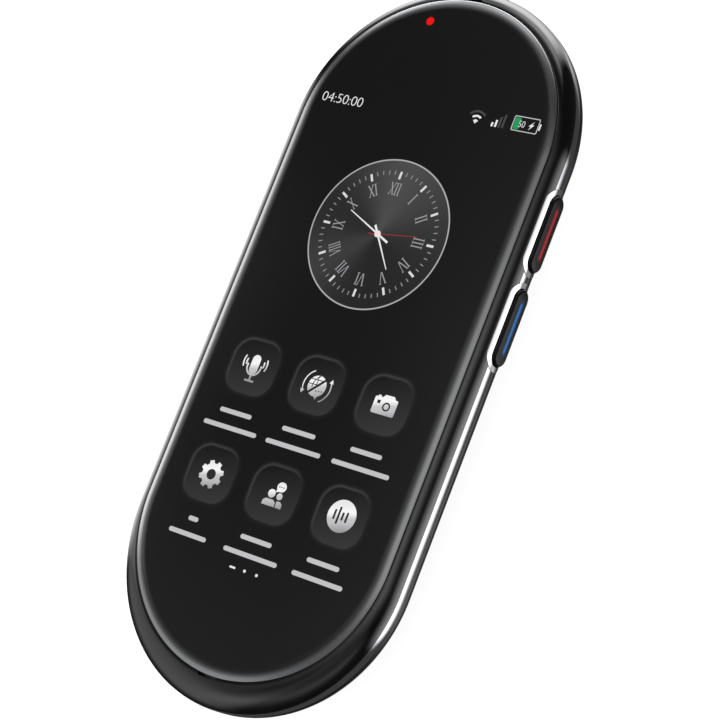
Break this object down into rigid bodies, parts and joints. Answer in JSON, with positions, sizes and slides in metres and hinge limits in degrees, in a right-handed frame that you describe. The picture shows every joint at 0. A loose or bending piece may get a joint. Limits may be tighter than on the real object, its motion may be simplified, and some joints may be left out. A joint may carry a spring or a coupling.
{
  "type": "handheld translator",
  "caption": "Pill-shaped hand-held voice translator with a full-face touch screen, a bright metal side band, lit push-to-talk side buttons and a power key on its end.",
  "frame": {"origin": "middle of the object's bounding box, at the flat back that it lies on", "axes": "+Z out of the screen, +Y towards the earpiece and power key end, +X towards the talk buttons"},
  "size_m": [0.0532, 0.1236, 0.011],
  "materials": {
    "black_glass": "polished, black behind",
    "gloss_black": "high gloss",
    "satin_black": "fine satin",
    "bright_metal": "polished, anodised",
    "grey_metal": "pressed",
    "steel_can": "plain",
    "black_tape": "matte",
    "dark_mesh": "fine woven, dark",
    "red_light": "clear, lit red",
    "blue_light": "clear, lit blue",
    "board_green": "solder mask",
    "flex_amber": "flexible film",
    "clear_lens": "clear",
    "cell_foil": "foil pouch"
  },
  "bodies": {
    "case": {"cover_glass": "black_glass", "glass_adhesive": "black_tape", "display_panel": "black_glass", "display_ribbon": "flex_amber", "front_housing": "gloss_black", "metal_frame": "bright_metal", "chassis_plate": "grey_metal", "back_cover": "satin_black", "red_switch_body": "steel_can", "blue_switch_body": "steel_can", "side_key_board": "flex_amber", "power_switch_body": "steel_can", "power_key_board": "flex_amber", "indicator_light_pipe": "red_light", "earpiece_mesh": "dark_mesh", "earpiece_receiver": "steel_can", "microphone_mesh": "dark_mesh", "microphone": "steel_can", "main_board": "board_green", "processor": "satin_black", "board_shield": "steel_can", "battery": "cell_foil", "camera_module": "satin_black", "camera_trim_ring": "bright_metal", "camera_window": "black_glass", "flash_led": "clear_lens", "flash_lens": "clear_lens", "loudspeaker": "satin_black", "speaker_mesh": "dark_mesh", "usb_socket": "steel_can", "usb_board": "board_green", "vibration_motor": "steel_can", "antenna": "flex_amber", "board_screw_1": "steel_can", "board_screw_2": "steel_can", "board_screw_3": "steel_can", "board_screw_4": "steel_can", "board_screw_5": "steel_can", "board_screw_6": "steel_can"},
    "red_button": {"red_button_cap": "gloss_black", "red_light_strip": "red_light", "red_switch_plunger": "satin_black"},
    "blue_button": {"blue_button_cap": "gloss_black", "blue_light_strip": "blue_light", "blue_switch_plunger": "satin_black"},
    "power_key": {"power_key_cap": "satin_black", "power_switch_plunger": "satin_black"}
  },
  "joints": [
    {"name": "red_button_press", "type": "slide", "parent": "case", "child": "red_button", "axis": [-1, 0, 0], "range_m": [0, 0.0003], "stiffness_N_per_m": 2000},
    {"name": "blue_button_press", "type": "slide", "parent": "case", "child": "blue_button", "axis": [-1, 0, 0], "range_m": [0, 0.0003], "stiffness_N_per_m": 2000},
    {"name": "power_key_press", "type": "slide", "parent": "case", "child": "power_key", "axis": [0, -1, 0], "range_m": [0, 0.0003], "stiffness_N_per_m": 2000}
  ]
}
